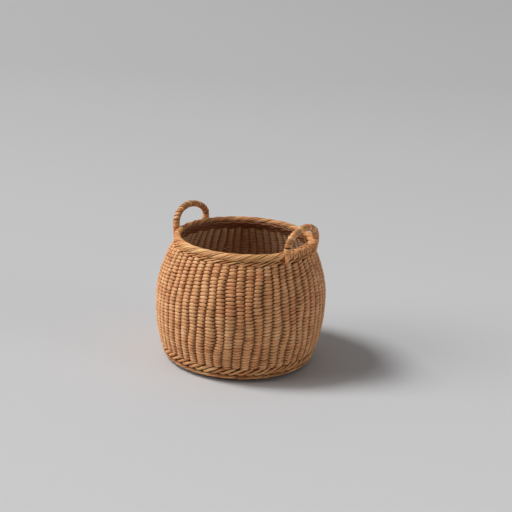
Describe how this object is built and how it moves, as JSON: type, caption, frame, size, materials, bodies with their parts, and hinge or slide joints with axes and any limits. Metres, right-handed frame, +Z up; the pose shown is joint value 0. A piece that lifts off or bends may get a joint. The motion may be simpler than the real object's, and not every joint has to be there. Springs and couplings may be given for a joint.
{
  "type": "split willow basket",
  "caption": "Small round-bellied basket of close-woven split willow with a rolled rope-like rim, a stout woven foot and two small wrapped ear handles standing on the rim.",
  "frame": {"origin": "on the floor under the middle of the base", "axes": "+Z up through the mouth, +X towards the front handle, the other handle towards -X"},
  "size_m": [0.0998, 0.0998, 0.0881],
  "materials": {
    "woven_willow": "split and shaved willow skein, satin, tan to pale orange brown",
    "stout_willow": "round willow rods, satin, twisted into a rope-like border and wales",
    "willow_rod": "round willow rods, matte brown",
    "willow_skein": "flat willow skein, satin, tightly wound"
  },
  "bodies": {
    "root": {"outer_weave": "woven_willow", "inner_weave": "woven_willow", "base_under": "woven_willow", "base_inside": "woven_willow", "rim_border": "stout_willow", "top_wale": "stout_willow", "foot_wale_upper": "stout_willow", "foot_wale_lower": "stout_willow", "stake_x01": "willow_rod", "stake_x02": "willow_rod", "stake_x03": "willow_rod", "stake_x04": "willow_rod", "stake_x05": "willow_rod", "stake_x06": "willow_rod", "stake_x07": "willow_rod", "stake_x08": "willow_rod", "stake_x09": "willow_rod", "stake_x10": "willow_rod", "stake_x11": "willow_rod", "stake_x12": "willow_rod", "stake_x13": "willow_rod", "stake_x14": "willow_rod", "stake_y01": "willow_rod", "stake_y02": "willow_rod", "stake_y03": "willow_rod", "stake_y04": "willow_rod", "stake_y05": "willow_rod", "stake_y06": "willow_rod", "stake_y07": "willow_rod", "stake_y08": "willow_rod", "stake_y09": "willow_rod", "stake_y10": "willow_rod", "stake_y11": "willow_rod", "stake_y12": "willow_rod", "stake_y13": "willow_rod", "stake_y14": "willow_rod", "front_handle_rod": "willow_rod", "back_handle_rod": "willow_rod", "front_handle_wrap": "willow_skein", "front_handle_collar_left": "willow_skein", "front_handle_collar_right": "willow_skein", "front_handle_binding_left": "willow_skein", "front_handle_binding_right": "willow_skein", "back_handle_wrap": "willow_skein", "back_handle_collar_left": "willow_skein", "back_handle_collar_right": "willow_skein", "back_handle_binding_left": "willow_skein", "back_handle_binding_right": "willow_skein"}
  },
  "joints": []
}
